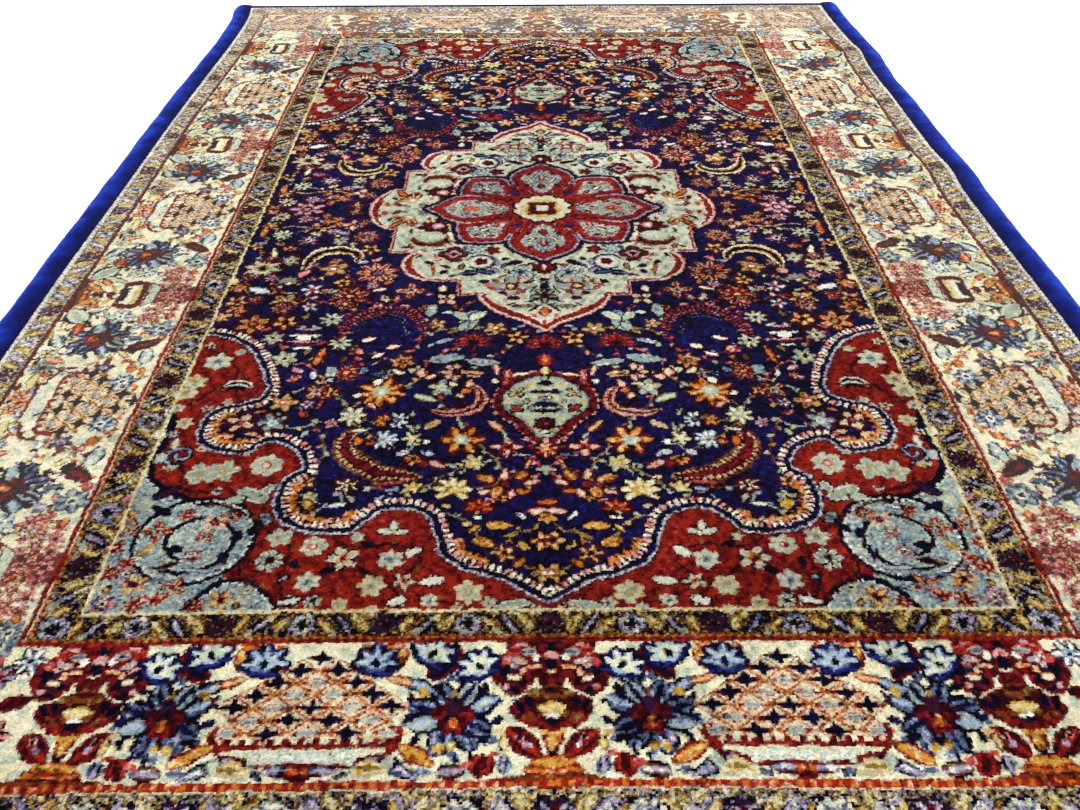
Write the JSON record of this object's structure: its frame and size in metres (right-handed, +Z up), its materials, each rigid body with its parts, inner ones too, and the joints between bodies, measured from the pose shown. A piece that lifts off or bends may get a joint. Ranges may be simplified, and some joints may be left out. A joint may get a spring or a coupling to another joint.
{
  "type": "persian rug",
  "caption": "Flat rectangular knotted pile rug with a medallion, corner pieces and framed borders, plush blue edging along both sides and narrow overcast ends, lying on its back.",
  "frame": {"origin": "on the floor, under the middle of the rug", "axes": "+Z up out of the pile, +Y along the rug's length towards the end that is far from the picture's camera, +X across it to the right"},
  "size_m": [1.208, 1.812, 0.0128],
  "materials": {
    "knotted_pile": "short clipped pile, soft sheen, patterned in navy, ivory, madder red, gold and pale blue",
    "blue_plush": "plain royal blue plush with a soft nap"
  },
  "bodies": {
    "root": {"rug_body": "knotted_pile", "side_edging_left": "blue_plush", "side_edging_right": "blue_plush"}
  },
  "joints": []
}
